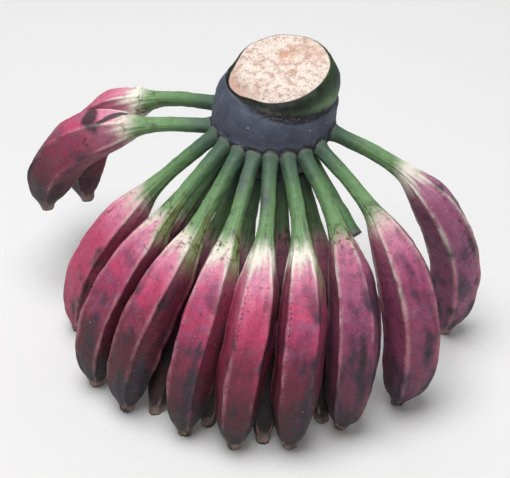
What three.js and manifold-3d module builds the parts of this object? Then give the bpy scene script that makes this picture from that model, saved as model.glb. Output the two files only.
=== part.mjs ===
// A cut hand of red lady finger bananas, standing on its finger tips.
// A short piece of bunch stalk carries a grey cushion, the crown, and two rows of fruit grow from the
// front of that crown: each fruit is a thin pedicel that widens into an angular, curved finger.
// Millimetres, +Z up, with the fruit fanning out towards -Y. Angles are in degrees, and an azimuth is
// measured about the stalk from +X towards +Y, so the front of the hand is at -90.

import * as THREE from "three";
import { mergeVertices } from "three/addons/utils/BufferGeometryUtils.js";
import Module from "manifold-3d";

const wasm = await Module();
wasm.setup();

// Driving dimensions

const JOINT_GAP = 0.3; // air left between a pedicel and the crown that it grows from
const STALK = {
  sides: 40,
  shoulder: 149, // height from which the top of the cushion starts to slant
  groove: 164, // height of the fold between the cushion and the bare stalk above it
  grooveTilt: { alongX: -0.13, alongY: 0 }, // rise of the fold per millimetre
  cutTilt: { alongX: 0.12, alongY: 0.2 }, // rise of the upper cut per millimetre
  bareRadius: 28, // plain stalk, as it shows at the back of the hand
  cushionSpan: { from: -215, to: 25, fade: 30 }, // azimuths between which the crown swells
};
// Outline of the stalk from its lower cut to its upper cut, where the crown swells.
const STALK_OUTLINE = [
  { z: 112, radius: 21, shift: 0 },
  { z: 119, radius: 23.5, shift: 0 },
  { z: 126, radius: 26.5, shift: 0.3 },
  { z: 132, radius: 29.5, shift: 0.7 },
  { z: 137, radius: 32, shift: 1 },
  { z: 143, radius: 33.5, shift: 1.3 },
  { z: 149, radius: 33.4, shift: 1.5 },
  { z: 155, radius: 32.6, shift: 1.6 },
  { z: 160.5, radius: 31, shift: 2.2 },
  { z: 164, radius: 29, shift: 2.8 }, // fold above the cushion
  { z: 166.5, radius: 28.5, shift: 3.4 },
  { z: 170.5, radius: 27.6, shift: 4.1 },
  { z: 174, radius: 26.3, shift: 4.5 },
  { z: 175.5, radius: 24.9, shift: 4.5 },
];
// Swelling on the right of the stalk, where the next hand of the bunch was.
const STALK_SWELLING = { azimuth: 8, width: 34, height: 166, reach: 11, rise: 4.2 };

const FRUIT = {
  sides: 10,
  ridges: 5,
  ridgeHeight: 0.06, // ridge above the mean radius, as a share of it
  pedicelRadius: 4,
  bellyRadius: 12.9,
  landing: 0.88, // share of the length past which a standing tip turns square to the floor
};
// How thick a fruit is along its length, from the root to the tip. The pedicel's radius comes first, and
// belly is how far the section has grown from the pedicel's radius to the finger's.
const FRUIT_OUTLINE = [
  { along: 0, belly: 0.04 },
  { along: 0.09, belly: 0.01 },
  { along: 0.18, belly: 0 },
  { along: 0.265, belly: 0.05 },
  { along: 0.315, belly: 0.2 },
  { along: 0.365, belly: 0.46 },
  { along: 0.425, belly: 0.73 },
  { along: 0.5, belly: 0.91 },
  { along: 0.59, belly: 0.99 },
  { along: 0.68, belly: 1 },
  { along: 0.76, belly: 0.97 },
  { along: 0.83, belly: 0.88 },
  { along: 0.885, belly: 0.72 },
  { along: 0.928, belly: 0.48 },
  { along: 0.958, belly: 0.22 },
  { along: 0.98, belly: 0.04 },
  { along: 1, belly: -0.04 }, // flat scar, where the flower was
];

// Where a row of fruit leaves the crown, and the usual shape of its fruit. A fruit's middle line leaves
// the root at heading, slope degrees below the horizon, and comes down to its tip leaning
// outwards by lean. The pulls say how far the line keeps each of those two directions. Twist turns the
// faces about the line, and girth is a share of the belly's radius.
const UPPER_ROW = { rootRadius: 26, rootHeight: 145, rootPull: 88, tipPull: 55, slope: 30, girth: 1 };
const LOWER_ROW = { rootRadius: 20, rootHeight: 138, rootPull: 70, tipPull: 50, slope: 50, girth: 0.82 };
const UPPER_FRUIT = [
  {
    root: 150, rootHeight: 142, rootPull: 62, heading: 158, slope: -3,
    tipAzimuth: 150, tipRadius: 131, tipHeight: 36, tipPull: 57, lean: 12, girth: 1.03,
  },
  {
    root: -178, rootHeight: 138.5, rootPull: 69, heading: 171, slope: -1,
    tipAzimuth: 165, tipRadius: 139, tipHeight: 53, tipPull: 48, lean: 0, girth: 1.06,
  },
  {
    root: -158, rootPull: 75, heading: -157, slope: 29,
    tipAzimuth: -173, tipRadius: 116, tipPull: 58, lean: -10, twist: -30, girth: 0.97,
  },
  {
    root: -139, rootPull: 84, heading: -138, slope: 28,
    tipAzimuth: -149, tipRadius: 117, lean: -2, twist: -20, girth: 0.98,
  },
  {
    root: -122, rootPull: 86, heading: -121,
    tipAzimuth: -135.5, tipRadius: 114, lean: -4, girth: 0.98,
  },
  { root: -106.5, heading: -106.5, tipAzimuth: -116, tipRadius: 109, lean: -3, girth: 0.97 },
  { root: -91.2, heading: -91, tipAzimuth: -100.5, tipRadius: 110, lean: 1, twist: -8, girth: 0.97 },
  { root: -76, heading: -74.5, tipAzimuth: -84.5, tipRadius: 108, lean: 6, twist: 8, girth: 0.98 },
  { root: -61, heading: -55, tipAzimuth: -67, tipRadius: 101, lean: 12, twist: 23, girth: 1.03 },
  {
    root: -44, rootPull: 95, heading: -38, slope: 25,
    tipAzimuth: -46, tipRadius: 104, lean: 14, twist: 24, girth: 1.12,
  },
  {
    root: -22, rootPull: 88, heading: -12, slope: 15,
    tipAzimuth: -9, tipRadius: 106, lean: 9, twist: -19, girth: 1.03,
  },
];
const LOWER_FRUIT = [
  { root: -149, heading: -149, slope: 46, tipAzimuth: -161, tipRadius: 98, lean: -22 },
  { root: -126, heading: -124, tipAzimuth: -128.5, tipRadius: 105, lean: -31 },
  { root: -106, heading: -104, tipAzimuth: -111, tipRadius: 98, lean: -28 },
  { root: -82, heading: -78, tipAzimuth: -92.4, tipRadius: 104, lean: -31 },
  { root: -64, heading: -47, slope: 52, tipAzimuth: -72, tipRadius: 93, lean: -24 },
];
// A pedicel in the lower row whose fruit has been cut away.
const STUB = {
  root: -40,
  heading: -54,
  slope: 34,
  length: 60,
  radius: 4.1,
  taper: [1.15, 1, 0.97, 1.02], // share of the radius at even steps from the root to the cut
};

const COLOURS = {
  crown: { color: 0x4a4b5a, roughness: 0.75, metalness: 0 },
  fruit: { color: 0x9c3a5c, roughness: 0.55, metalness: 0 },
  pedicel: { color: 0x4e7a4a, roughness: 0.6, metalness: 0 },
};

// Small helpers

const UP = new THREE.Vector3(0, 0, 1);
const { degToRad, smoothstep, lerp } = THREE.MathUtils;

// Unit vector at an azimuth, dipping below the horizon by slope.
function pointing(azimuth, slope = 0) {
  const a = degToRad(azimuth);
  const s = degToRad(slope);
  return new THREE.Vector3(Math.cos(a) * Math.cos(s), Math.sin(a) * Math.cos(s), -Math.sin(s));
}

// Closed skin over rings of points that run along a body, with a fan to the middle of each end ring.
function skinOver(rings) {
  const sides = rings[0].length;
  const middle = (ring) => ring.reduce((sum, p) => sum.add(p), new THREE.Vector3()).divideScalar(sides);
  const points = [...rings.flat(), middle(rings[0]), middle(rings.at(-1))];
  const first = points.length - 2;
  const last = points.length - 1;
  const faces = [];
  for (let side = 0; side < sides; side++) {
    const next = (side + 1) % sides;
    for (let row = 0; row + 1 < rings.length; row++) {
      const low = row * sides;
      const high = low + sides;
      faces.push(low + side, low + next, high + next, low + side, high + next, high + side);
    }
    const top = (rings.length - 1) * sides;
    faces.push(first, next, side, last, top + side, top + next);
  }
  return new THREE.BufferGeometry().setFromPoints(points).setIndex(faces);
}

// Solids for cutting

function toSolid(geometry) {
  const bare = mergeVertices(geometry.clone().deleteAttribute("normal").deleteAttribute("uv"));
  return new wasm.Manifold(
    new wasm.Mesh({
      numProp: 3,
      vertProperties: bare.attributes.position.array,
      triVerts: new Uint32Array(bare.index.array),
    }),
  );
}

function toGeometry(solid) {
  const { vertProperties, triVerts } = solid.getMesh();
  const geometry = new THREE.BufferGeometry();
  geometry.setAttribute("position", new THREE.BufferAttribute(vertProperties, 3));
  geometry.setIndex(new THREE.BufferAttribute(triVerts, 1));
  geometry.computeVertexNormals();
  return geometry;
}

// The stalk and its crown

// 1 where the crown swells and 0 at the plain back of the stalk.
function cushionShare(azimuth) {
  const { from, to, fade } = STALK.cushionSpan;
  const half = (to - from) / 2;
  const away = Math.abs(THREE.MathUtils.euclideanModulo(azimuth - (from + to) / 2 + 180, 360) - 180);
  return 1 - smoothstep(away, half, half + fade);
}

// Rings of the stalk, with every radius enlarged by grow.
function stalkRings(grow = 0) {
  const cut = STALK_OUTLINE.at(-1).z;
  const { shoulder, groove, grooveTilt, cutTilt } = STALK;
  return STALK_OUTLINE.map(({ z, radius, shift }) =>
    Array.from({ length: STALK.sides }, (_, side) => {
      const azimuth = (360 * side) / STALK.sides;
      const plain = Math.min(radius, STALK.bareRadius);
      const turn = THREE.MathUtils.euclideanModulo(azimuth - STALK_SWELLING.azimuth + 180, 360) - 180;
      const swelling =
        STALK_SWELLING.rise *
        Math.exp(-((turn / STALK_SWELLING.width) ** 2)) *
        Math.exp(-(((z - STALK_SWELLING.height) / STALK_SWELLING.reach) ** 2));
      const reach = lerp(plain, radius, cushionShare(azimuth)) + swelling + grow;
      const point = pointing(azimuth).multiplyScalar(reach);
      point.x += shift;
      const folded = smoothstep(z, shoulder, groove);
      const cutOff = smoothstep(z, groove, cut);
      const riseX = lerp(folded * grooveTilt.alongX, cutTilt.alongX, cutOff);
      const riseY = lerp(folded * grooveTilt.alongY, cutTilt.alongY, cutOff);
      point.z = z + point.x * riseX + point.y * riseY;
      return point;
    }),
  );
}

// Fruit

// Middle line of a fruit, from inside the crown to the tip.
function fruitLine(fruit, row) {
  const { rootRadius, rootHeight, rootPull, tipPull, slope } = { ...row, ...fruit };
  const root = pointing(fruit.root).multiplyScalar(rootRadius).setZ(rootHeight);
  const tip = pointing(fruit.tipAzimuth).multiplyScalar(fruit.tipRadius).setZ(fruit.tipHeight ?? 0);
  const fromTip = pointing(fruit.tipAzimuth, fruit.lean - 90);
  return new THREE.CubicBezierCurve3(
    root,
    pointing(fruit.heading, slope).multiplyScalar(rootPull).add(root),
    fromTip.multiplyScalar(tipPull).add(tip),
    tip,
  );
}

// One five-sided section across the middle line. Its first ridge pair straddles the back of the finger,
// turned about the line by twist.
function fruitSection(centre, along, outwards, radius, angular = 0, twist = 0) {
  const back = outwards.clone().addScaledVector(along, -outwards.dot(along)).normalize();
  const side = along.clone().cross(back);
  return Array.from({ length: FRUIT.sides }, (_, corner) => {
    const angle = (2 * Math.PI * corner) / FRUIT.sides;
    const ridge = -Math.cos(FRUIT.ridges * angle) * FRUIT.ridgeHeight * angular;
    const reach = radius * (1 + ridge);
    return centre
      .clone()
      .addScaledVector(back, reach * Math.cos(angle + degToRad(twist)))
      .addScaledVector(side, reach * Math.sin(angle + degToRad(twist)));
  });
}

function fruitRings(fruit, row) {
  const line = fruitLine(fruit, row);
  const girth = fruit.girth ?? row.girth;
  const standing = fruit.tipHeight === undefined;
  const outwards = pointing((fruit.heading + fruit.tipAzimuth) / 2).add(UP);
  return FRUIT_OUTLINE.map(({ along, belly }) => {
    const direction = line.getTangentAt(along);
    if (standing) direction.lerp(UP.clone().negate(), smoothstep(along, FRUIT.landing, 1)).normalize();
    const radius = FRUIT.pedicelRadius + belly * (FRUIT.bellyRadius * girth - FRUIT.pedicelRadius);
    const angular = Math.max(0, belly);
    return fruitSection(line.getPointAt(along), direction, outwards, radius, angular, fruit.twist);
  });
}

// The stub of a pedicel: a plain, slightly tapered rod with a square cut end.
function stubRings() {
  const root = pointing(STUB.root).multiplyScalar(LOWER_ROW.rootRadius).setZ(LOWER_ROW.rootHeight);
  const along = pointing(STUB.heading, STUB.slope);
  return STUB.taper.map((share, step, all) => {
    const centre = root.clone().addScaledVector(along, (STUB.length * step) / (all.length - 1));
    return fruitSection(centre, along, UP, STUB.radius * share);
  });
}

// Assembly

const hand = new THREE.Group();

function addPiece(name, geometry, finish) {
  const piece = new THREE.Mesh(geometry, new THREE.MeshStandardMaterial(finish));
  piece.name = name;
  hand.add(piece);
}

const numbered = (name, index) => `${name}_${String(index + 1).padStart(2, "0")}`;
const roomForCrown = toSolid(skinOver(stalkRings(JOINT_GAP)));
const clearOfCrown = (rings) => toGeometry(toSolid(skinOver(rings)).subtract(roomForCrown));

addPiece("stalk_and_crown", skinOver(stalkRings()), COLOURS.crown);
UPPER_FRUIT.forEach((fruit, index) => {
  addPiece(numbered("banana_upper", index), clearOfCrown(fruitRings(fruit, UPPER_ROW)), COLOURS.fruit);
});
LOWER_FRUIT.forEach((fruit, index) => {
  addPiece(numbered("banana_lower", index), clearOfCrown(fruitRings(fruit, LOWER_ROW)), COLOURS.fruit);
});
addPiece("pedicel_stub", clearOfCrown(stubRings()), COLOURS.pedicel);

// The origin goes to the middle of the hand's footprint, on the floor that it stands on.
const middle = new THREE.Box3().setFromObject(hand).getCenter(new THREE.Vector3());
hand.children.forEach((piece) => piece.position.set(-middle.x, -middle.y, 0));

export default hand;
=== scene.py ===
import math

import bpy
import numpy as np
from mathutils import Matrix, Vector, noise
from mathutils.bvhtree import BVHTree


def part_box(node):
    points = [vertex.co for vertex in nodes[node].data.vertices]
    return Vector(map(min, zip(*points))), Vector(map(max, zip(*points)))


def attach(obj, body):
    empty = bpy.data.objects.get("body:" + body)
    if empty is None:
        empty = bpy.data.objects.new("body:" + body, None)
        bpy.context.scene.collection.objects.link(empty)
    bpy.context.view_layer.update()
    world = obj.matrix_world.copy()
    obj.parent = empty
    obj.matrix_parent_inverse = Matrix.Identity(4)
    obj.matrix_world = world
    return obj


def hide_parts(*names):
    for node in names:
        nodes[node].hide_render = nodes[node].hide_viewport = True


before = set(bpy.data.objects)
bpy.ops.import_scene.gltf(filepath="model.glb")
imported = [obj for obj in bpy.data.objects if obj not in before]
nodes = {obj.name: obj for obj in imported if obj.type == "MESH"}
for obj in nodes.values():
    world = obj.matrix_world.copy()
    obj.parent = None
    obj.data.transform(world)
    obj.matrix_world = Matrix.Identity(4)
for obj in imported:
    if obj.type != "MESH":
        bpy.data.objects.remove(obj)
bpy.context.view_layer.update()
print("frame:", len(nodes), "nodes")


# colours are written as the eye reads them, 0 to 255, and used as linear light
def tint(red, green, blue):
    def linear(value):
        value = value / 255
        return value / 12.92 if value <= 0.04045 else ((value + 0.055) / 1.055) ** 2.4

    return (linear(red), linear(green), linear(blue), 1)


# view, floor and light

viewSetup = {
    "eye": (0.00273, -0.61756, 0.59402),
    "elevation": 40,
    "lens": 100.84,
    "sensor": 36,
    "clipEnd": 50,
}
studio = {
    "floorHalf": 6.0,
    "floorColour": tint(232, 232, 232),
    "floorRoughness": 0.9,
    "skyColour": (1, 1, 1, 1),
    "skyStrength": 0.26,
    "key": {"at": (-0.15, -0.15, 1.5), "size": 1.0, "power": 21},
    "fill": {"at": (0.3, -1.3, 1.0), "size": 0.8, "power": 1.2},
    "back": {"at": (0.2, 1.2, 0.9), "size": 1.0, "power": 2},
    "aim": (0, 0, 0.08),
}


def addCamera():
    lens = bpy.data.cameras.new("photoView")
    lens.lens = viewSetup["lens"]
    lens.sensor_width = viewSetup["sensor"]
    lens.clip_end = viewSetup["clipEnd"]
    camera = bpy.data.objects.new("photoView", lens)
    camera.location = viewSetup["eye"]
    camera.rotation_euler = (math.radians(90 - viewSetup["elevation"]), 0, 0)
    bpy.context.scene.collection.objects.link(camera)
    bpy.context.scene.camera = camera


def addLight(name, setup):
    lamp = bpy.data.lights.new(name, "AREA")
    lamp.shape = "DISK"
    lamp.size = setup["size"]
    lamp.energy = setup["power"]
    light = bpy.data.objects.new(name, lamp)
    light.location = setup["at"]
    towards = Vector(studio["aim"]) - light.location
    light.rotation_euler = towards.to_track_quat("-Z", "Y").to_euler()
    bpy.context.scene.collection.objects.link(light)


def addFloor():
    half = studio["floorHalf"]
    mesh = bpy.data.meshes.new("floor")
    corners = [(-half, -half, 0), (half, -half, 0), (half, half, 0), (-half, half, 0)]
    mesh.from_pydata(corners, [], [(0, 1, 2, 3)])
    paper = bpy.data.materials.new("paperWhite")
    paper.use_nodes = True
    surface = paper.node_tree.nodes["Principled BSDF"]
    surface.inputs["Base Color"].default_value = studio["floorColour"]
    surface.inputs["Roughness"].default_value = studio["floorRoughness"]
    mesh.materials.append(paper)
    floor = bpy.data.objects.new("floor", mesh)
    bpy.context.scene.collection.objects.link(floor)


def addSky():
    world = bpy.data.worlds.new("softSky")
    world.use_nodes = True
    sky = world.node_tree.nodes["Background"]
    sky.inputs["Color"].default_value = studio["skyColour"]
    sky.inputs["Strength"].default_value = studio["skyStrength"]
    bpy.context.scene.world = world


addCamera()
addFloor()
addSky()
for lightName in ("key", "fill", "back"):
    addLight(lightName, studio[lightName])
bpy.context.scene.view_settings.view_transform = "Standard"
print("stage: camera, floor and lights")


# shader maths as plain expressions

skinSpecular = 0.4


class Wire:
    def __init__(self, graph, socket):
        self.graph = graph
        self.socket = socket

    def sum(self, operation, first, second):
        return self.graph.node("ShaderNodeMath", {"operation": operation}, {0: first, 1: second})

    def __add__(self, other):
        return self.sum("ADD", self, other)

    def __radd__(self, other):
        return self.sum("ADD", other, self)

    def __sub__(self, other):
        return self.sum("SUBTRACT", self, other)

    def __rsub__(self, other):
        return self.sum("SUBTRACT", other, self)

    def __mul__(self, other):
        return self.sum("MULTIPLY", self, other)

    def __rmul__(self, other):
        return self.sum("MULTIPLY", other, self)


class Finish:
    def __init__(self, name):
        self.material = bpy.data.materials.new(name)
        self.material.use_nodes = True
        self.tree = self.material.node_tree
        self.tree.nodes.clear()
        self.place = self.node("ShaderNodeTexCoord", out="Object")

    def node(self, kind, settings=None, sockets=None, out=0):
        made = self.tree.nodes.new(kind)
        for key, value in (settings or {}).items():
            setattr(made, key, value)
        for key, value in (sockets or {}).items():
            if isinstance(value, Wire):
                self.tree.links.new(value.socket, made.inputs[key])
            else:
                made.inputs[key].default_value = value
        return Wire(self, made.outputs[out]) if made.outputs else None

    def painted(self, name):  # a value stored on the mesh
        return self.node("ShaderNodeAttribute", {"attribute_name": name}, out="Fac")

    def vector(self, x, y, z):
        return self.node("ShaderNodeCombineXYZ", {}, {"X": x, "Y": y, "Z": z})

    def cloud(self, scale, detail=3, rough=0.55, at=None):
        sockets = {"Vector": at or self.place, "Scale": scale, "Detail": detail, "Roughness": rough}
        return self.node("ShaderNodeTexNoise", {}, sockets, "Fac")

    def dots(self, scale, at=None, spread=1.0):  # distance from the nearest dot
        sockets = {"Vector": at or self.place, "Scale": scale, "Randomness": spread}
        return self.node("ShaderNodeTexVoronoi", {}, sockets, "Distance")

    def ramp(self, value, low, high):  # 0 at low, 1 at high
        sockets = {"Value": value, "From Min": low, "From Max": high}
        return self.node("ShaderNodeMapRange", {"interpolation_type": "SMOOTHSTEP"}, sockets)

    def line(self, value, middle, width):  # 1 where the value crosses the middle
        away = self.node("ShaderNodeMath", {"operation": "ABSOLUTE"}, {0: value - middle})
        return self.ramp(away, width, width / 3)

    def mix(self, share, first, second):
        return self.node("ShaderNodeMix", {"data_type": "RGBA"}, {0: share, 6: first, 7: second}, 2)

    def lay(self, layer, under, value, where=1):  # a coat over a colour
        share = self.ramp(value, layer["low"], layer["high"]) * (layer["share"] * where)
        return self.mix(share, under, layer["colour"])

    def finish(self, colour, roughness, height, depth):
        bump = self.node("ShaderNodeBump", {}, {"Height": height, "Distance": depth, "Strength": 1})
        sockets = {"Base Color": colour, "Roughness": roughness, "Normal": bump}
        sockets["Specular IOR Level"] = skinSpecular
        surface = self.node("ShaderNodeBsdfPrincipled", {}, sockets)
        self.node("ShaderNodeOutputMaterial", {}, {"Surface": surface})
        return self.material


def coat(colour, low, high, share=1):  # a colour that comes in as a value runs from low to high
    return {"colour": colour, "low": low, "high": high, "share": share}


def sway(cloud, width):  # a cloud's values about zero
    return (cloud - 0.5) * width


# shapes: the solids of the frame are lofts, so their rings are read back and drawn finer

millimetres = 1000  # in a metre, for the distances that a finish reads


def weldedPoints(name):
    mesh = nodes[name].data
    spots = np.round(np.array([v.co for v in mesh.vertices], float), 6)
    points, weld = np.unique(spots, axis=0, return_inverse=True)
    weld = weld.ravel()
    joined = [set() for _ in points]
    for edge in mesh.edges:
        a, b = (int(weld[v]) for v in edge.vertices)
        if a != b:
            joined[a].add(b)
            joined[b].add(a)
    return points, joined


def ringsFrom(points, joined, pole, corners):
    rings = []
    layer, seen = {pole}, {pole}
    while True:
        layer = {near for point in layer for near in joined[point]} - seen
        if len(layer) != corners:
            return rings
        seen |= layer
        rings.append(points[sorted(layer)])


def unit(vectors):
    return vectors / np.linalg.norm(vectors, axis=-1, keepdims=True)


def sortedRings(rings, towards):  # corners in step, the first one nearest the given direction
    middles = np.array([ring.mean(0) for ring in rings])
    ahead = unit(np.gradient(middles, axis=0))
    ordered = []
    for ring, middle, along in zip(rings, middles, ahead):
        back = unit(towards - towards @ along * along)
        side = np.cross(along, back)
        turn = np.arctan2((ring - middle) @ side, (ring - middle) @ back)
        order = np.argsort(turn)
        first = int(np.argmin(np.abs(turn[order])))
        ring = np.roll(ring[order], -first, axis=0)
        towards = ring[0] - middle
        ordered.append(ring)
    return np.array(ordered)


def finerAround(lattice, count):
    corners = lattice.shape[1]
    waves = np.fft.rfft(lattice, axis=1)
    waves[:, -1] *= 0.5  # the last wave stands for both directions
    return np.fft.irfft(waves, count, axis=1) * count / corners


def finerAlong(rows, knots, wanted):
    slopes = np.gradient(rows, knots, axis=0)
    at = np.clip(np.searchsorted(knots, wanted, side="right") - 1, 0, len(knots) - 2)
    shape = (-1,) + (1,) * (rows.ndim - 1)
    span = (knots[at + 1] - knots[at]).reshape(shape)
    t = (wanted - knots[at]).reshape(shape) / span
    start = (2 * t**3 - 3 * t**2 + 1) * rows[at] + (t**3 - 2 * t**2 + t) * span * slopes[at]
    end = (3 * t**2 - 2 * t**3) * rows[at + 1] + (t**3 - t**2) * span * slopes[at + 1]
    return start + end


def pathLength(spots):
    return np.concatenate([[0], np.cumsum(np.linalg.norm(np.diff(spots, axis=0), axis=1))])


def outwards(grid):  # unit normals of a grid that is closed around
    across = np.roll(grid, -1, axis=1) - np.roll(grid, 1, axis=1)
    along = np.gradient(grid, axis=0)
    return unit(np.cross(across, along))


def lumps(grid, size, seed):
    flat = grid.reshape(-1, 3) / size + seed
    return np.array([noise.noise(spot) for spot in flat.tolist()]).reshape(grid.shape[:2])


def smooth(value, low, high):
    t = np.clip((value - low) / (high - low), 0, 1)
    return t * t * (3 - 2 * t)


def hump(value, middle, width):
    return np.exp(-(((value - middle) / width) ** 2))


def around(count):
    return np.arange(count) / count * 2 * math.pi


def gridPiece(name, grid, values, material, node):
    rows, columns = grid.shape[:2]
    spots = np.vstack([grid.reshape(-1, 3), grid[0].mean(0), grid[-1].mean(0)])
    first, last = rows * columns, rows * columns + 1
    faces = []
    for column in range(columns):
        after = (column + 1) % columns
        faces.append((first, after, column))
        faces.append((last, (rows - 1) * columns + column, (rows - 1) * columns + after))
        for row in range(rows - 1):
            low, high = row * columns, (row + 1) * columns
            faces.append((low + column, low + after, high + after, high + column))
    mesh = bpy.data.meshes.new(name)
    mesh.from_pydata(spots.tolist(), [], faces)
    mesh.polygons.foreach_set("use_smooth", [True] * len(mesh.polygons))
    for key, value in values.items():
        value = np.broadcast_to(value, (rows, columns))
        numbers = np.concatenate([value.ravel(), [value[0].mean(), value[-1].mean()]])
        mesh.attributes.new(key, "FLOAT", "POINT").data.foreach_set("value", numbers.astype(np.float32))
    mesh.materials.append(material)
    piece = bpy.data.objects.new(name, mesh)
    bpy.context.scene.collection.objects.link(piece)
    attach(piece, "root")
    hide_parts(node)


# the peel of a fruit: green pedicel, cream neck, crimson finger, dark tip

# a coat has a colour, the two ends of its ramp and its share, and ends along a fruit are millimetres
peelLook = {
    "clouds": {  # scale a metre, detail and roughness
        "mottle": (70, 4),
        "blotch": (160, 4, 0.6),
        "fine": (330, 4),
        "grain": (1000, 2),
        "flecks": (420, 2),
        "speckAreas": (50, 2),
        "wear": (130, 5, 0.66),
        "scratches": (15, 2),
        "scratchAreas": (85, 2),
        "scuffs": (340, 4, 0.65),
    },
    "paleDots": 430,  # a metre
    "whiteDots": 190,
    "pedicel": tint(78, 114, 74),
    "pedicelLight": coat(tint(118, 154, 106), -46, -2),
    "pedicelDark": coat(tint(52, 76, 50), 0.5, 0.75, 0.55),
    "pedicelRoot": coat(tint(74, 96, 86), 20, 4, 0.75),
    "collar": coat(tint(118, 112, 110), 3.4, 1.4, 0.35),
    "rootCreaseShade": coat(tint(32, 32, 34), 1.5, 0.3, 0.85),
    "greyStreak": coat(tint(84, 80, 98), 0.66, 0.8, 0.5),
    "greyPatch": coat(tint(84, 80, 98), 0.3, 0.55, 0.75),
    "fleck": coat(tint(84, 52, 42), 0.66, 0.74, 0.7),
    "fleckAreas": (0.5, 0.6),
    "crimson": tint(200, 70, 112),
    "plum": coat(tint(152, 60, 98), 0.56, 0.88),
    "pink": coat(tint(230, 128, 164), 48, 14),
    "blush": coat(tint(238, 184, 200), 32, 12, 0.6),
    "mauve": coat(tint(162, 104, 138), 0.5, 0.75, 0.6),
    "bloomShare": 0.42,  # mauve all over a weathered fruit
    "paleSpeck": coat(tint(228, 196, 206), 0.26, 0.1, 0.3),
    "paleAreas": (0.46, 0.62),
    "whiteSpeck": coat(tint(228, 196, 206), 0.11, 0.04, 0.5),
    "whiteAreas": (0.54, 0.62),
    "lowEndAndShade": coat(tint(92, 32, 48), 36, 84, 0.88),
    "shadeSide": coat(tint(92, 30, 48), 0.8, 0.1),
    "worn": coat(tint(58, 44, 52), 0.5, 0.62, 0.85),
    "wornStart": (2, 12),
    "ridge": tint(216, 142, 158),
    "ridgeReach": (42, 14),
    "ridgeShown": (0.66, 0.96),
    "ridgeShare": 0.6,
    "leftSide": (0.05, 0.4),
    "rightSide": (0, 0.7),
    "bruise": coat(tint(42, 44, 56), 0.63, 0.9, 0.88),
    "bruiseStart": (16, 44),
    "bruiseNearTip": (55, 12),
    "dark": coat(tint(34, 24, 28), 52, 6),
    "dust": coat(tint(44, 24, 32), 0.52, 0.78, 0.38),
    "scratch": coat(tint(44, 24, 32), 0.57, 0.63, 0.6),
    "scratchLine": (0.5, 0.0035),
    "dotRow": coat(tint(44, 24, 32), 0.3, 0.18, 0.9),
    "dotSpread": 0.44,
    "neck": tint(244, 240, 224),
    "dullNeck": tint(188, 142, 142),
    "neckReach": (0, 12),
    "fingerReach": (0, 13),
    "greenSide": coat(tint(140, 158, 104), 0.2, 0.4),
    "scuff": coat(tint(84, 52, 42), 0.51, 0.64, 0.9),
    "smear": coat(tint(34, 34, 42), 0.25, 0.9, 0.9),
    "dim": tint(34, 32, 28),
    "tipHighlight": coat(tint(206, 166, 172), 15, 6, 0.5),
    "tipCreases": (0.1, 0.7),
    "tip": coat(tint(172, 148, 140), 9, 2.5, 0.85),
    "tipPatches": (0.3, 0.6),
    "tipEnd": coat(tint(50, 42, 40), 1.4, 0.2, 0.9),
    "bumpDepth": 0.0007,
}


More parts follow.
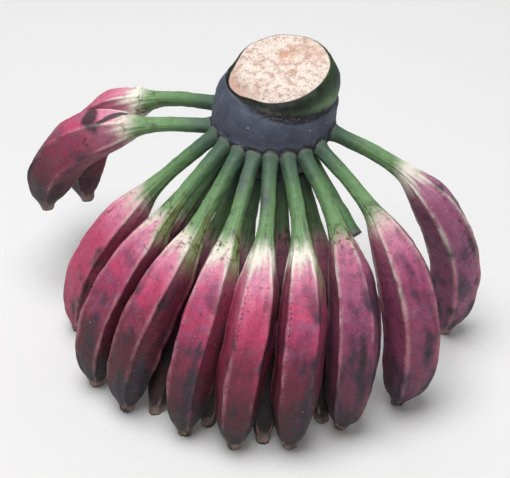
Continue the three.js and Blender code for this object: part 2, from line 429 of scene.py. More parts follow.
def peelMaterial():
    look = peelLook
    f = Finish("bananaPeel")
    neck = f.painted("fromNeck")  # past the neck, less than 0 on the pedicel
    tip = f.painted("fromTip")
    crown = f.painted("fromCrown")
    lip = f.painted("fromLip")
    crest = f.painted("crest")
    dorsal = f.painted("dorsal")
    flank = f.painted("flank")
    cream = f.painted("cream")
    ripe = f.painted("ripe")
    darkEnd = f.painted("darkEnd")
    weathered = f.painted("weathered")
    shift = f.painted("tone") * 9  # sets each fruit's streaks apart
    streaks = f.cloud(1.6, 4, 0.6, f.vector(neck * 0.024 + shift, dorsal * 1.3, flank * 1.3))
    smudges = f.cloud(1.4, 3, 0.45, f.vector(neck * 0.04 - shift, dorsal * 1.2, flank * 1.2))
    clouds = {name: f.cloud(*setup) for name, setup in look["clouds"].items()}
    mottle = clouds["mottle"]
    blotch = clouds["blotch"]
    fine = clouds["fine"]

    # pedicel
    green = f.lay(look["pedicelLight"], look["pedicel"], neck + sway(streaks, 34))
    green = f.lay(look["pedicelDark"], green, blotch + sway(streaks, 0.6))
    green = f.lay(look["pedicelRoot"], green, crown)
    green = f.lay(look["collar"], green, lip + sway(blotch, 3))
    # painted shade: a dark line in the crease where the pedicel goes into the crown
    green = f.lay(look["rootCreaseShade"], green, lip + sway(blotch, 2))
    green = f.lay(look["greyStreak"], green, streaks + fine * 0.2)
    green = f.lay(look["greyPatch"], green, mottle, f.painted("greyPatch"))
    green = f.lay(look["fleck"], green, clouds["flecks"], f.ramp(mottle, *look["fleckAreas"]))

    # finger
    red = f.lay(look["plum"], look["crimson"], mottle * 0.6 + blotch * 0.4 + ripe * 0.5)
    red = f.lay(look["pink"], red, neck + sway(streaks, 50), 0.95 - ripe * 0.5)
    red = f.lay(look["blush"], red, neck + sway(streaks, 30), cream)
    red = f.lay(look["mauve"], red, blotch + ripe * 0.1)
    paleAreas = f.ramp(mottle + sway(fine, 0.4), *look["paleAreas"])
    red = f.lay(look["paleSpeck"], red, f.dots(look["paleDots"]), paleAreas)
    # darker towards the low end, partly the peel's own colour and partly painted shade where the finger turns
    # down, then painted shade on the side faces
    red = f.lay(look["lowEndAndShade"], red, neck + sway(streaks, 50) + sway(mottle, 30), darkEnd)
    red = f.lay(look["shadeSide"], red, f.painted("facet") + sway(mottle, 0.2), 0.3 + darkEnd * 0.4)
    red = f.mix(weathered * look["bloomShare"], red, look["mauve"]["colour"])
    wear = clouds["wear"] + dorsal * 0.03 - flank * 0.1
    red = f.lay(look["worn"], red, wear, weathered * f.ramp(neck, *look["wornStart"]))

    # ridges, paler partly by their own colour and partly by a painted highlight, brighter along the left of a
    # weathered fruit
    leftEdge = weathered * f.ramp(flank, *look["leftSide"])
    edge = f.mix(f.ramp(neck - leftEdge * 45, *look["ridgeReach"]), look["ridge"], look["neck"])
    shown = f.ramp(streaks + blotch * 0.6 + leftEdge * 0.12, *look["ridgeShown"])
    red = f.mix(crest * shown * look["ridgeShare"], red, edge)

    # bruises, mostly low down and on the right, then dust, specks and scratches
    turned = f.ramp(0 - flank, *look["rightSide"]) * (0.1 + weathered * 0.1)
    lowDown = f.ramp(tip, *look["bruiseNearTip"]) * 0.14
    # a large bruise share also stands in for painted shade on a fruit deep in the others' shadow
    spread = lowDown + turned + sway(mottle, 0.16) + f.painted("bruisedAndShaded") * 0.14
    started = f.ramp(neck, *look["bruiseStart"])
    red = f.lay(look["bruise"], red, smudges + sway(blotch, 0.16) + spread, started)
    # darker towards the tip, partly the peel's own dark end and partly painted shade
    red = f.lay(look["dark"], red, tip + sway(streaks, 60) + sway(mottle, 30), 0.4 + darkEnd * 0.5)
    red = f.lay(look["dust"], red, fine + sway(clouds["grain"], 0.8))
    whiteAreas = f.ramp(clouds["speckAreas"], *look["whiteAreas"])
    red = f.lay(look["whiteSpeck"], red, f.dots(look["whiteDots"]), whiteAreas)
    scratches = f.line(clouds["scratches"], *look["scratchLine"])
    red = f.lay(look["scratch"], red, clouds["scratchAreas"], scratches)
    besideRidge = f.vector(neck * 0.38, f.painted("offRidge") * 0.45 + 0.72, 0.22)
    dotRow = f.dots(1, besideRidge, look["dotSpread"])
    red = f.lay(look["dotRow"], red, dotRow, f.painted("dotRow"))

    # neck
    pale = f.mix(cream, look["dullNeck"], look["neck"])
    paleStart = neck + sway(streaks, 16) + dorsal * 2
    redStart = neck + sway(streaks, 26) - crest * 6 - cream * 7
    colour = f.mix(f.ramp(paleStart, *look["neckReach"]), green, pale)
    colour = f.mix(f.ramp(redStart, *look["fingerReach"]), colour, red)
    colour = f.lay(look["greenSide"], colour, fine, f.painted("greenSide"))
    colour = f.lay(look["scuff"], colour, clouds["scuffs"] + sway(blotch, 0.6), f.painted("scuffed"))
    colour = f.lay(look["smear"], colour, f.painted("smear") * 1.5 + sway(blotch, 0.7) + sway(fine, 0.5))
    # painted shade over all of a fruit that lies in the others' shadow
    colour = f.mix(f.painted("dim"), colour, look["dim"])

    # tip
    # painted highlight on the ridges just above the tip
    colour = f.lay(look["tipHighlight"], colour, tip, f.ramp(crest + sway(blotch, 1.2), *look["tipCreases"]))
    colour = f.lay(look["tip"], colour, tip + sway(fine, 6), f.ramp(blotch, *look["tipPatches"]))
    colour = f.lay(look["tipEnd"], colour, tip + sway(fine, 2))

    rough = 0.36 + mottle * 0.2 + fine * 0.2
    height = fine * 0.6 + blotch * 0.8 + clouds["grain"] * 0.25
    return f.finish(colour, rough, height, look["bumpDepth"])


# fruit

fruitShape = {
    "corners": 10,
    "ridges": 5,
    "around": 100,
    "spacing": 0.0011,
    "rootInside": 0.012,  # how far the pedicel runs on into the crown
    "faceBelow": 0.06,  # middle of a face under the mean radius, as a share of it
    "sharper": 1.4,
    "neckSwell": 0.12,  # share of the swelling at which the neck starts
    "crestSwell": (0.08, 0.4),  # shares of the swelling over which the ridges rise
    "crestWidth": 0.12,
    "crestHeight": 0.00045,
    "crestRange": (0.5, 1.2),  # how much lower or higher one ridge may be
    "lumpHeight": 0.0008,
    "lumpSize": 0.016,
    "lumpSeed": 3.7,
    "pedicelLumps": 0.35,
    "smallLumps": {"size": 0.25, "height": 0.25, "seed": 1.3},  # shares of the large ones, and a seed
    "rodSides": 4,
    "rodEdges": 0.00016,
    "collarHeight": 0.0011,
    "collarLength": 0.0028,
    "collarReach": 0.016,
    "wrinkleHeight": 0.00018,
    "wrinkleCounts": (11, 17),
    "neckCrease": {"at": 0.004, "width": 0.016, "share": 0.6},
    "tipCrease": (0.012, 0.002),
    "scarShares": (0.88, 0.72, 0.5, 0.25),
    "scarDepths": (0.0003, 0.0009, 0.0012, 0.0013),
}
markShape = {
    "scuff": (0.005, 0.011),  # middle and width, past the neck
    "greenFlank": (0.62, 0.86),
    "greenStart": (-0.012, -0.004),
    "greenFade": 0.008,
    "greyFlank": (-0.7, 0.1),
    "dotRidge": 0.4,
    "dotFade": 0.008,
    "dotBeside": (-0.0012, 0.0018),  # middle and width, off the ridge
    "smearBack": (0, 0.4),
}
# marks that belong to one fruit. cream, scuffed, ripe, bruisedAndShaded, darkEnd and weathered are
# shares of a colour or wear; the bruise share also carries painted shade on a fruit deep in shadow,
# and darkEnd sets the darker low end, partly the peel's own colour and partly painted shade, and the
# painted shade on the side faces. dim is painted shade over all of a fruit in the others' shadow.
# Places are metres past the neck, or from the crown for a grey patch. early moves the neck's colours
# towards the crown. A smear is a dark dab: its place, its width along the fruit, how it slants, its
# place and half width on the flank, and its strength.
plainFruit = {"cream": 0.3, "scuffed": 0.5, "ripe": 0.9, "bruisedAndShaded": 1.0, "dim": 0.45}  # the lower row, darkened by painted shade as it lies in the others' shadow
fruitMarks = {
    "banana_upper_01": {"cream": 1.0, "scuffed": 0.9, "ripe": 0.1, "bruisedAndShaded": 0.3, "darkEnd": 0.6},
    "banana_upper_02": {
        "cream": 0.7,
        "scuffed": 0.5,
        "ripe": 0.4,
        "bruisedAndShaded": 0.4,
        "darkEnd": 0.8,
        "smears": (
            {"at": 0.0135, "width": 0.0036, "slant": 0.012, "side": 0, "half": 0.6},
            {"at": 0.0285, "width": 0.0048, "slant": -0.003, "side": 0, "half": 0.7},
        ),
        "greyPatch": (0.012, 0.008),
    },
    "banana_upper_03": {"cream": 0.6, "scuffed": 0.5, "ripe": 0, "bruisedAndShaded": 0, "darkEnd": 0.1},
    "banana_upper_04": {
        "cream": 0.7,
        "scuffed": 0.8,
        "ripe": 0.5,
        "bruisedAndShaded": 0.4,
        "darkEnd": 1.1,
        "greenSide": 0.022,
    },
    "banana_upper_05": {
        "cream": 0.8,
        "scuffed": 0.9,
        "ripe": 0.3,
        "bruisedAndShaded": 0.8,
        "darkEnd": 1.4,
        "greenSide": 0.03,
    },
    "banana_upper_06": {
        "cream": 0.9,
        "scuffed": 1.0,
        "ripe": 0.4,
        "bruisedAndShaded": 0.7,
        "greenSide": 0.026,
        "greyPatch": (0.016, 0.006),
    },
    "banana_upper_07": {
        "cream": 1.0,
        "scuffed": 0.3,
        "ripe": 0.1,
        "bruisedAndShaded": 0.7,
        "dotRow": (0.02, 0.058),
        "greyPatch": (0.022, 0.007),
    },
    "banana_upper_08": {
        "cream": 1.0,
        "scuffed": 0.4,
        "ripe": 0.5,
        "bruisedAndShaded": 0.8,
        "dotRow": (0.022, 0.09),
        "greenSide": 0.036,
    },
    "banana_upper_09": {
        "cream": 0.2,
        "scuffed": 0.9,
        "ripe": 0.9,
        "bruisedAndShaded": 1.1,
        "weathered": 0.4,
        "smears": (
            {"at": 0.066, "width": 0.016, "slant": 0, "side": 0.1, "half": 0.22, "strength": 0.6},
        ),
    },
    "banana_upper_10": {
        "cream": 0.5,
        "scuffed": 0.4,
        "ripe": 0.6,
        "bruisedAndShaded": 0.9,
        "early": 0.003,
        "darkEnd": 0.7,
        "weathered": 0.5,
        "smears": (
            {"at": 0.078, "width": 0.016, "slant": 0, "side": 0.2, "half": 0.25, "strength": 0.6},
        ),
    },
    "banana_upper_11": {
        "cream": 1.4,
        "scuffed": 0.2,
        "ripe": 1.1,
        "bruisedAndShaded": 1.1,
        "early": 0.009,
        "darkEnd": 0,
        "weathered": 1,
        "smears": (
            {"at": 0.026, "width": 0.008, "slant": 0, "side": 0.2, "half": 0.3, "strength": 0.5},
            {"at": 0.062, "width": 0.016, "slant": 0, "side": 0.5, "half": 0.2, "strength": 0.5},
        ),
    },
    # this fruit lies deep in the others' shadow: its large bruise and dim shares are painted shade
    "banana_lower_04": {
        "cream": 0.1,
        "scuffed": 0.8,
        "ripe": 1.2,
        "bruisedAndShaded": 1.8,
        "early": 0.006,
        "dim": 0.55,
    },
}


def crownSurface():
    mesh = nodes["stalk_and_crown"].data
    return BVHTree.FromPolygons([v.co for v in mesh.vertices], [p.vertices for p in mesh.polygons])


def outside(surface, spot):  # distance out of a closed surface, 0 inside it
    foot, normal, _, distance = surface.find_nearest(spot)
    return distance if (Vector(spot) - foot).dot(normal) > 0 else 0


def fruitLattice(name):
    corners = fruitShape["corners"]
    points, joined = weldedPoints(name)
    crownLow, crownHigh = (np.array(corner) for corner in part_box("stalk_and_crown"))
    crownMiddle = (crownLow + crownHigh) / 2
    poles = [n for n, near in enumerate(joined) if len(near) == corners]
    pole = max(poles, key=lambda n: np.linalg.norm(points[n] - crownMiddle))
    rings = ringsFrom(points, joined, pole, corners)[::-1]
    away = points.mean(0) - crownMiddle
    towards = unit(np.array([away[0], away[1], 0])) + np.array([0, 0, 1])
    lattice = sortedRings(rings, towards)

    # the first corner is the middle of the face on the finger's back
    reach = np.linalg.norm(lattice - lattice.mean(1, keepdims=True), axis=2)
    belly = int(np.argmax(reach.mean(1)))
    if reach[belly, 0::2].mean() > reach[belly, 1::2].mean():
        lattice = np.roll(lattice, -1, axis=1)
    spokes = lattice[belly] - lattice[belly].mean(0)
    lattice = np.roll(lattice, -2 * int(np.argmax(spokes[0::2] @ towards)), axis=1)
    spokes = lattice[belly] - lattice[belly].mean(0)
    along = unit(lattice[belly + 1].mean(0) - lattice[belly - 1].mean(0))
    back = unit(towards - towards @ along * along)
    twist = math.atan2(spokes[0] @ np.cross(along, back), spokes[0] @ back)
    return lattice, twist


def markValues(name, fromNeck, fromCrown, offRidge, flank, twist, turn):
    marks = fruitMarks.get(name, plainFruit)
    place = markShape
    values = {"greenSide": 0, "greyPatch": 0, "dotRow": 0, "smear": 0}
    values.update((key, marks[key]) for key in ("cream", "ripe", "bruisedAndShaded"))
    values["darkEnd"] = marks.get("darkEnd", 1)
    values["dim"] = marks.get("dim", 0)
    values["weathered"] = marks.get("weathered", 0)
    values["scuffed"] = marks["scuffed"] * hump(fromNeck, *place["scuff"])
    if "greenSide" in marks:
        side = smooth(-flank, *place["greenFlank"]) * smooth(fromNeck, *place["greenStart"])
        values["greenSide"] = side * smooth(fromNeck, marks["greenSide"], place["greenFade"])
    if "greyPatch" in marks:
        values["greyPatch"] = hump(fromCrown, *marks["greyPatch"]) * smooth(flank, *place["greyFlank"])
    if "dotRow" in marks:
        start, end = marks["dotRow"]
        fade = place["dotFade"]
        ridgeOnLeft = hump(turn, math.pi / fruitShape["ridges"], place["dotRidge"])
        inside = smooth(fromNeck, start, start + fade) * smooth(fromNeck, end, end - fade)
        values["dotRow"] = ridgeOnLeft * inside * hump(offRidge, *place["dotBeside"])
    onBack = smooth(np.cos(turn + twist), *place["smearBack"])
    for smear in marks.get("smears", ()):
        slanted = fromNeck + flank * smear["slant"]
        dab = hump(slanted, smear["at"], smear["width"]) * hump(flank, smear["side"], smear["half"])
        values["smear"] = values["smear"] + dab * smear.get("strength", 1) * onBack
    return values


def fruitPiece(name, seed, material, crown):
    shape = fruitShape
    lattice, twist = fruitLattice(name)
    ahead = unit(lattice[1].mean(0) - lattice[0].mean(0))
    root = (lattice[0].mean(0), ahead, np.linalg.norm(lattice[0] - lattice[0].mean(0), axis=1).mean())
    lattice = np.concatenate([lattice[:1] - ahead * shape["rootInside"], lattice])
    knots = pathLength(lattice.mean(1))
    length = knots[-1]
    wanted = np.linspace(0, length, round(length / shape["spacing"]))
    grid = finerAlong(finerAround(lattice, shape["around"]), knots, wanted)

    middle = grid.mean(1, keepdims=True)
    radius = np.linalg.norm(grid - middle, axis=2).mean(1, keepdims=True)
    thin, thick = radius[: len(radius) // 3].min(), radius.max()  # the pedicel is in the first third
    swell = np.clip((radius - thin) / (thick - thin), 0, 1)
    turn = around(shape["around"])
    sector = 2 * math.pi / shape["ridges"]
    offFace = (turn + sector / 2) % sector - sector / 2
    pastRidge = turn % sector - sector / 2

    # flat faces between sharp ridges, in place of the loft's round ones
    flatFaces = (1 / np.cos(offFace) - 1) / (1 / math.cos(sector / 2) - 1)
    roundFaces = (1 - np.cos(shape["ridges"] * turn)) / 2
    sharpen = 2 * shape["faceBelow"] * (flatFaces * shape["sharper"] - roundFaces)
    grid = middle + (grid - middle) * (1 + sharpen * swell)[..., None]

    # distances along the fruit
    fromTip = (length - wanted)[:, None]
    fromNeck = (wanted - wanted[int(np.argmax(swell[:, 0] > shape["neckSwell"]))])[:, None]
    fromNeck = fromNeck + fruitMarks.get(name, plainFruit).get("early", 0)
    fromCrown = np.array([crown.find_nearest(spot)[3] for spot in middle[:, 0].tolist()])[:, None]
    fromLip = np.full(grid.shape[:2], shape["collarReach"])
    for row in np.flatnonzero(wanted < shape["rootInside"] + shape["collarReach"]):
        fromLip[row] = [outside(crown, spot) for spot in grid[row]]

    # ridges, lumps, collar and wrinkles
    seeds = np.random.default_rng(seed)
    crest = hump(pastRidge, 0, shape["crestWidth"]) * smooth(swell, *shape["crestSwell"])
    strength = seeds.uniform(*shape["crestRange"], shape["ridges"])
    rise = crest * np.repeat(strength, shape["around"] // shape["ridges"]) * shape["crestHeight"]
    large = lumps(grid, shape["lumpSize"], seed * shape["lumpSeed"])
    rise = rise + large * shape["lumpHeight"] * (shape["pedicelLumps"] + swell)
    small = shape["smallLumps"]
    little = lumps(grid, shape["lumpSize"] * small["size"], seed * small["seed"])
    rise = rise + little * shape["lumpHeight"] * small["height"]
    rise = rise + np.sin(turn * shape["rodSides"] + seed) * shape["rodEdges"] * (1 - swell)
    rise = rise + hump(fromLip, 0, shape["collarLength"]) * shape["collarHeight"]
    fewFolds, manyFolds = shape["wrinkleCounts"]
    folds = np.sin(turn * fewFolds + seed) + np.sin(turn * manyFolds + 2 * seed)
    crease = shape["neckCrease"]
    creased = hump(fromNeck, crease["at"], crease["width"]) * crease["share"]
    creased = creased + smooth(fromTip, *shape["tipCrease"])
    rise = rise + folds * shape["wrinkleHeight"] * creased
    grid = grid + outwards(grid) * rise[..., None]

    # dry, hollow end
    scar = grid[-1]
    centre = scar.mean(0)
    ahead = unit(middle[-1, 0] - middle[-2, 0])
    ends = [centre + (scar - centre) * share - ahead * depth
            for share, depth in zip(shape["scarShares"], shape["scarDepths"])]
    grid = np.concatenate([grid, np.array(ends)])
    grid[..., 2] = np.maximum(grid[..., 2], 0)  # nothing under the floor

    dorsal, flank = np.cos(turn + twist)[None, :], np.sin(turn + twist)[None, :]
    facet = np.cos(turn - offFace + twist)[None, :]  # the same all over a face
    offRidge = pastRidge[None, :] * radius
    values = {
        "fromNeck": fromNeck * millimetres,
        "fromTip": fromTip * millimetres,
        "fromCrown": fromCrown * millimetres,
        "fromLip": fromLip * millimetres,
        "crest": crest,
        "dorsal": dorsal,
        "facet": facet,
        "flank": flank,
        "offRidge": offRidge * millimetres,
        "tone": seeds.uniform(0, 1),
        **markValues(name, fromNeck, fromCrown, offRidge, flank, twist, turn),
    }
    whole = (len(wanted), shape["around"])
    tail = ((0, len(ends)), (0, 0))
    values = {key: np.pad(np.broadcast_to(value, whole), tail, "edge") for key, value in values.items()}
    gridPiece("fruit_" + name, grid, values, material, name)
    return root


# the crown: cut stalk with a pale face, dark green band and grey cushion

crownLook = {
    "clouds": {  # scale a metre, detail and roughness, read in this order
        "grain": (1400, 3, 0.6),
        "fine": (420, 4),
        "patch": (260, 4, 0.6),
        "mid": (110, 4),
        "wide": (40, 3),
    },
    "pores": 1000,  # a metre
    "specks": 130,
    "wartDots": 650,
    "pith": tint(228, 214, 203),
    "pithWarm": coat(tint(200, 160, 140), 0.38, 0.64, 0.65),
    "pithDull": coat(tint(164, 130, 114), 0.47, 0.66, 0.75),
    "pithSpeck": coat(tint(104, 76, 66), 0.36, 0.1, 0.8),
    "pithSpeckAreas": (0.44, 0.66),
    "rust": coat(tint(206, 128, 92), 0.35, 0.6),
    "pithRim": coat(tint(150, 128, 112), 0.44, 0.7, 0.75),
    "chamfer": tint(196, 152, 136),
    "rim": coat(tint(196, 178, 158), 0.965, 0.99),
    "oldCut": tint(150, 122, 98),
    "oldCutDark": coat(tint(84, 62, 50), 0.4, 0.65),
    "band": tint(18, 23, 16),
    "bandGreen": coat(tint(42, 62, 38), 0.46, 0.74),
    "fibre": coat(tint(62, 78, 56), 0.5, 0.72, 0.35),
    "fibreScale": (300, 300, 45),  # fibres run up the stalk
    "fold": coat(tint(106, 130, 98), 0.25, 0.5),
    "violet": coat(tint(64, 62, 86), 0.3, 0.9, 0.8),
    "olive": coat(tint(104, 102, 62), 0.46, 0.62, 0.8),
    "cushion": tint(68, 73, 88),
    "cushionPale": coat(tint(84, 89, 106), 0.36, 0.64),
    "cushionGrain": coat(tint(46, 48, 60), 0.55, 0.75, 0.5),
    "cushionPatch": coat(tint(46, 48, 60), 0.48, 0.75, 0.5),
    "cushionReach": (0.3, 0.6),
    "speck": coat(tint(214, 216, 222), 0.07, 0.03),
    "groove": coat(tint(30, 30, 38), 0.3, 0.7, 0.8),
    "wart": coat(tint(128, 108, 106), 0.34, 0.16),
    "wartAreas": (0.4, 0.55),
    "under": tint(66, 71, 82),
    "underShade": coat(tint(26, 24, 27), 0.4, 0.65),
    "underReach": (0.4, 0.62),
    "rootGapShade": coat(tint(26, 24, 27), 2.8, 0.8, 0.9),
    "bumpDepth": 0.0005,
}


def crownMaterial():
    look = crownLook
    f = Finish("crownSkin")
    rim = f.painted("rim")
    warts = f.painted("warts")
    grain, fine, patch, mid, wide = (f.cloud(*setup) for setup in look["clouds"].values())
    stretched = f.node("ShaderNodeVectorMath", {"operation": "MULTIPLY"}, {0: f.place, 1: look["fibreScale"]})
    fibres = f.cloud(1, 4, 0.6, stretched)

    # cut face
    pith = f.lay(look["pithWarm"], look["pith"], patch + sway(wide, 0.9) - rim * 0.1)
    pith = f.lay(look["pithDull"], pith, grain + sway(patch, 0.7))
    speckAreas = f.ramp(patch + sway(mid, 1), *look["pithSpeckAreas"])
    pith = f.lay(look["pithSpeck"], pith, f.dots(look["pores"]), speckAreas)
    pith = f.lay(look["rust"], pith, fine, f.painted("rust"))
    pith = f.lay(look["pithRim"], pith, grain + sway(fine, 1), f.painted("lowRim"))
    pith = f.mix(f.painted("chamfer") * (0.5 + grain * 0.8), pith, look["chamfer"])
    pith = f.lay(look["rim"], pith, rim)

    # dark band under the cut
    skin = f.lay(look["bandGreen"], look["band"], wide + sway(patch, 0.4) + f.painted("right") * 0.2)
    skin = f.lay(look["fibre"], skin, fibres)
    # a raised fold on the band, pale green partly by its own colour and partly by a painted highlight
    skin = f.lay(look["fold"], skin, mid, f.painted("fold"))
    skin = f.lay(look["violet"], skin, f.painted("violet") + sway(patch, 0.8))
    skin = f.lay(look["olive"], skin, fine + sway(patch, 1), f.painted("olive"))

    # cushion
    grey = f.lay(look["cushionPale"], look["cushion"], mid * 0.6 + patch * 0.4)
    grey = f.lay(look["cushionGrain"], grey, grain + sway(patch, 0.6))
    grey = f.lay(look["cushionPatch"], grey, wide)
    grey = f.lay(look["speck"], grey, f.dots(look["specks"]))
    onCushion = f.painted("cushion") + sway(mid, 0.6) + sway(patch, 0.4)
    skin = f.mix(f.ramp(onCushion, *look["cushionReach"]), skin, grey)
    skin = f.lay(look["groove"], skin, warts + sway(patch, 0.7))
    wartAreas = warts * f.ramp(fine, *look["wartAreas"])
    skin = f.lay(look["wart"], skin, f.dots(look["wartDots"]), wartAreas)
    # painted shade under the cushion's lip and between the pedicels, in dark patches over blue grey
    below = f.lay(look["underShade"], look["under"], patch + sway(wide, 0.6))
    skin = f.mix(f.ramp(f.painted("under") + sway(mid, 0.5), *look["underReach"]), skin, below)
    # painted shade in the gaps beside each pedicel's root
    skin = f.lay(look["rootGapShade"], skin, f.painted("pastRoot") + sway(patch, 5))

    colour = f.mix(f.painted("face"), skin, pith)
    old = f.lay(look["oldCutDark"], look["oldCut"], grain + sway(patch, 0.8))
    colour = f.mix(f.painted("oldCut"), colour, old)
    return f.finish(colour, 0.5 + fine * 0.2, fine * 0.6 + mid * 0.4, look["bumpDepth"])


crownShape = {
    "corners": 40,
    "around": 240,
    "spacing": 0.0006,
    "faceRings": 44,
    "groove": 0.1636,  # mean height of the fold between stalk and cushion
    "top": 0.1755,
    "lip": 0.142,  # height under which the cushion turns in, darkened there by painted shade
    "lipFade": 0.004,
    "cushionArc": {"azimuth": -95, "full": 95, "end": 145},  # degrees to each side of its front
    "cushionFade": (-0.003, 0.001),  # below and above its top
    "cushionStart": (0, 0.3),
    "underStart": (0, 0.6),
    "shoulder": {"azimuth": 200, "half": 55, "rise": 0.009},  # the cushion reaches higher on the left
    "lumpHeight": 0.0007,
    "lumpSize": 0.011,
    "lumpSeed": 5.1,
    "smallLumps": {"size": 0.2, "height": 0.3, "seed": 2.2},  # shares of the large ones, and a seed
    "wartArc": {"azimuth": -85, "half": 75},
    "wartDrop": 0.001,  # below the groove
    "wartWidth": 0.0028,
    "wartHeight": 0.0024,
    "wartSize": 0.0017,
    "wartSeed": 9.4,
    "rootReach": 0.012,
    "rootLip": 0.0016,
    "rootLipWidth": 0.0018,
    "rootLipUneven": (0.6, 0.4),  # even and warty shares of its height
    "faceGrain": 0.00028,
    "faceGrainSize": 0.0012,
    "faceWaves": 0.0005,
    "faceWaveSize": 0.007,
    "faceSeed": 3.3,
    "baseSeed": 7.7,
    "calmRim": 0.1,  # share of the face that flattens towards its edge
    "chamfer": {"azimuth": 196, "half": 34, "width": 0.28, "depth": 0.0044},
    "chamferHeight": 0.006,
    "lobeHeight": 0.008,
    "fold": {"azimuth": -24, "half": 32, "height": 0.167, "width": 0.0026, "rise": 0.0018},
    "violet": {"azimuth": 2, "half": 15, "height": 0.171, "width": 0.003, "rise": 0.0014},
    "olive": {"azimuth": 8, "half": 5, "height": 0.1705, "width": 0.0022},
    "lobes": (
        {"azimuth": 184, "half": 18, "push": 0.0026},
        {"azimuth": 228, "half": 16, "push": -0.0016},
        {"azimuth": 118, "half": 18, "push": 0.0012},
        {"azimuth": 50, "half": 20, "push": 0.0012},
    ),
    "rust": {"azimuth": 70, "half": 25, "share": 0.35, "width": 0.16},
    "lowRim": {"azimuth": -90, "half": 65, "share": 0.9, "width": 0.16},
}


def pastRoots(grid, roots, reach):  # distance from the nearest pedicel's side
    nearest = np.full(grid.shape[:2], reach)
    for centre, ahead, radius in roots:
        along = (grid - centre) @ ahead
        aside = np.linalg.norm(grid - centre - along[..., None] * ahead, axis=2) - radius
        nearest = np.minimum(nearest, np.where(np.abs(along) < reach, np.maximum(aside, 0), reach))
    return nearest


def degreesFrom(turn, azimuth):  # -180 to 180
    return ((np.degrees(turn) - azimuth + 180) % 360 - 180)[None, :]


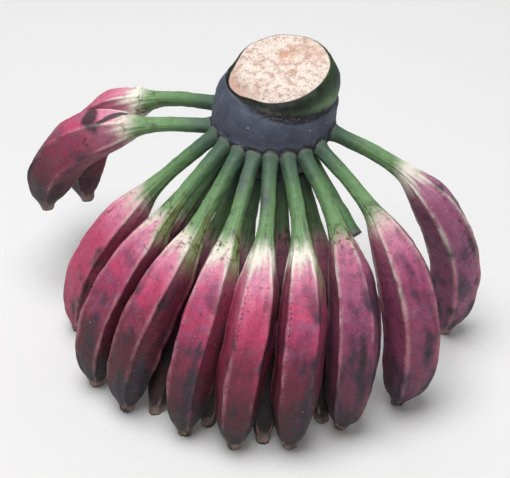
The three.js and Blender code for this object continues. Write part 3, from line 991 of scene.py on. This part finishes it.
def crownPiece(name, material, roots):
    shape = crownShape
    top = shape["top"]
    points, joined = weldedPoints(name)
    poles = [n for n, near in enumerate(joined) if len(near) == shape["corners"]]
    pole = max(poles, key=lambda n: points[n][2])
    rings = ringsFrom(points, joined, pole, shape["corners"])[::-1]
    lattice = finerAround(sortedRings(rings, np.array([1.0, 0, 0])), shape["around"])
    reach = np.linalg.norm(np.diff(lattice, axis=0), axis=2).mean(1)
    knots = np.concatenate([[0], np.cumsum(reach)])
    wanted = np.linspace(0, knots[-1], round(knots[-1] / shape["spacing"]))
    grid = finerAlong(lattice, knots, wanted)
    height = finerAlong(lattice.mean(1)[:, 2], knots, wanted)[:, None]
    turn = around(shape["around"])

    def atAzimuth(setup):  # 1 at the azimuth of a feature, fading past its half width
        return hump(degreesFrom(turn, setup["azimuth"]), 0, setup["half"])

    def atHeight(setup):  # the same, at its height as well
        return hump(height, setup["height"], setup["width"]) * atAzimuth(setup)

    # skin
    groove = shape["groove"] + shape["shoulder"]["rise"] * atAzimuth(shape["shoulder"])
    warts = hump(height, groove - shape["wartDrop"], shape["wartWidth"]) * atAzimuth(shape["wartArc"])
    fold = atHeight(shape["fold"])
    violet = atHeight(shape["violet"])
    small = shape["smallLumps"]
    little = lumps(grid, shape["lumpSize"] * small["size"], small["seed"])
    rise = lumps(grid, shape["lumpSize"], shape["lumpSeed"]) * shape["lumpHeight"]
    rise = rise + little * shape["lumpHeight"] * small["height"]
    warty = lumps(grid, shape["wartSize"], shape["wartSeed"])
    rise = rise + warts * np.maximum(warty, 0) * shape["wartHeight"]
    rise = rise + fold * shape["fold"]["rise"] + violet * shape["violet"]["rise"]
    pastRoot = pastRoots(grid, roots, shape["rootReach"])
    even, uneven = shape["rootLipUneven"]
    rise = rise + hump(pastRoot, 0, shape["rootLipWidth"]) * shape["rootLip"] * (even + warty * uneven)
    grid = grid + outwards(grid) * rise[..., None]

    # cut face, uneven at its edge and with a slanting trim on its left
    centre = grid[-1].mean(0)
    spokes = unit((grid - centre) * np.array([1, 1, 0]))
    push = sum(atAzimuth(lobe) * lobe["push"] for lobe in shape["lobes"])
    grid = grid + spokes * (push * smooth(height, top - shape["lobeHeight"], top))[..., None]
    chamfer = shape["chamfer"]
    trim = atAzimuth(chamfer) * chamfer["depth"]
    grid[..., 2] -= trim * smooth(height, top - shape["chamferHeight"], top)
    shares = (1 - np.arange(1, shape["faceRings"]) / shape["faceRings"])[:, None]
    slanted = smooth(shares, 1 - chamfer["width"], 1)

    def cutFace(edge, seed):  # rings from the edge of a cut to its middle
        rings = edge.mean(0) + (edge - edge.mean(0)) * shares[..., None]
        grain = lumps(rings, shape["faceGrainSize"], seed) * shape["faceGrain"]
        waves = lumps(rings, shape["faceWaveSize"], seed) * shape["faceWaves"]
        rings[..., 2] += (grain + waves) * smooth(1 - shares, 0, shape["calmRim"])
        return rings

    face = cutFace(grid[-1], shape["faceSeed"])
    face[..., 2] += trim * (shares - slanted)
    base = cutFace(grid[0], shape["baseSeed"])[::-1]
    whole = np.concatenate([base, grid, face])
    baseRows = slice(0, len(base))
    skinRows = slice(len(base), len(base) + len(grid))
    faceRows = slice(len(base) + len(grid), len(whole))

    def onlyOn(rows, value):  # a value on some rows of the whole, 0 on the others
        field = np.zeros(whole.shape[:2])
        field[rows] = value
        return field

    def spot(setup):
        return hump(shares, setup["share"], setup["width"]) * atAzimuth(setup)

    arc = shape["cushionArc"]
    front = smooth(np.abs(degreesFrom(turn, arc["azimuth"])), arc["end"], arc["full"])
    cushionTop = groove - (1 - front) * (shape["groove"] - shape["lip"])  # it thins out towards the back
    fadeLow, fadeHigh = shape["cushionFade"]
    cushion = 1 - smooth(height, cushionTop + fadeLow, cushionTop + fadeHigh)
    under = smooth(height, shape["lip"] + shape["lipFade"], shape["lip"] - shape["lipFade"])
    onSkin = {
        "cushion": cushion * smooth(front, *shape["cushionStart"]),
        "warts": warts,
        "fold": fold,
        "violet": violet,
        "olive": atHeight(shape["olive"]),
        "under": under * smooth(front, *shape["underStart"]),
        "pastRoot": pastRoot * millimetres,
    }
    onFace = {
        "face": 1,
        "rim": shares,
        "rust": spot(shape["rust"]),
        "lowRim": spot(shape["lowRim"]),
        "chamfer": slanted * atAzimuth(chamfer),
    }
    values = {"oldCut": onlyOn(baseRows, 1), "right": np.cos(turn)[None, :]}
    values.update((key, onlyOn(skinRows, value)) for key, value in onSkin.items())
    values.update((key, onlyOn(faceRows, value)) for key, value in onFace.items())
    gridPiece("crown_" + name, whole, values, material, name)


# the stub of a pedicel

stubLook = {
    "green": tint(84, 120, 78),
    "dark": coat(tint(54, 80, 56), 0.35, 0.7),
    "fleck": coat(tint(60, 44, 40), 0.66, 0.76, 0.6),
    "dry": coat(tint(92, 96, 88), 5, 1),
    "bumpDepth": 0.0004,
}


def stubMaterial():
    look = stubLook
    f = Finish("stubSkin")
    tip = f.painted("fromTip")
    cloudy = f.cloud(60, 4)
    fine = f.cloud(400, 3)
    colour = f.lay(look["dark"], look["green"], cloudy)
    colour = f.lay(look["fleck"], colour, fine)
    colour = f.lay(look["dry"], colour, tip + sway(fine, 6))
    return f.finish(colour, 0.45 + fine * 0.2, fine, look["bumpDepth"])


stubShape = {
    "corners": 10,
    "around": 48,
    "spacing": 0.0009,
    "rootInside": 0.02,
    "lumpHeight": 0.0004,
    "lumpSize": 0.006,
    "lumpSeed": 4.4,
}


def stubPiece(name, material):
    shape = stubShape
    points, joined = weldedPoints(name)
    poles = [n for n, near in enumerate(joined) if len(near) == shape["corners"]]
    pole = min(poles, key=lambda n: points[n][2])
    rings = ringsFrom(points, joined, pole, shape["corners"])[::-1]
    lattice = sortedRings(rings, np.array([0, 0, 1.0]))
    ahead = unit(lattice[-1].mean(0) - lattice[0].mean(0))
    lattice = np.concatenate([lattice[:1] - ahead * shape["rootInside"], lattice])
    knots = pathLength(lattice.mean(1))
    wanted = np.linspace(0, knots[-1], round(knots[-1] / shape["spacing"]))
    grid = finerAlong(finerAround(lattice, shape["around"]), knots, wanted)
    rise = lumps(grid, shape["lumpSize"], shape["lumpSeed"]) * shape["lumpHeight"]
    grid = grid + outwards(grid) * rise[..., None]
    values = {"fromTip": (knots[-1] - wanted)[:, None] * millimetres}
    gridPiece("stub_" + name, grid, values, material, name)


peel = peelMaterial()
crownSkin = crownSurface()
fruitNames = sorted(name for name in nodes if name.startswith("banana_"))
roots = [fruitPiece(fruitName, order, peel, crownSkin) for order, fruitName in enumerate(fruitNames, 1)]
print("fruit:", len(fruitNames), "fingers with their pedicels")
crownPiece("stalk_and_crown", crownMaterial(), roots)
print("crown: cut stalk and cushion")
stubPiece("pedicel_stub", stubMaterial())
print("stub: one cut pedicel")
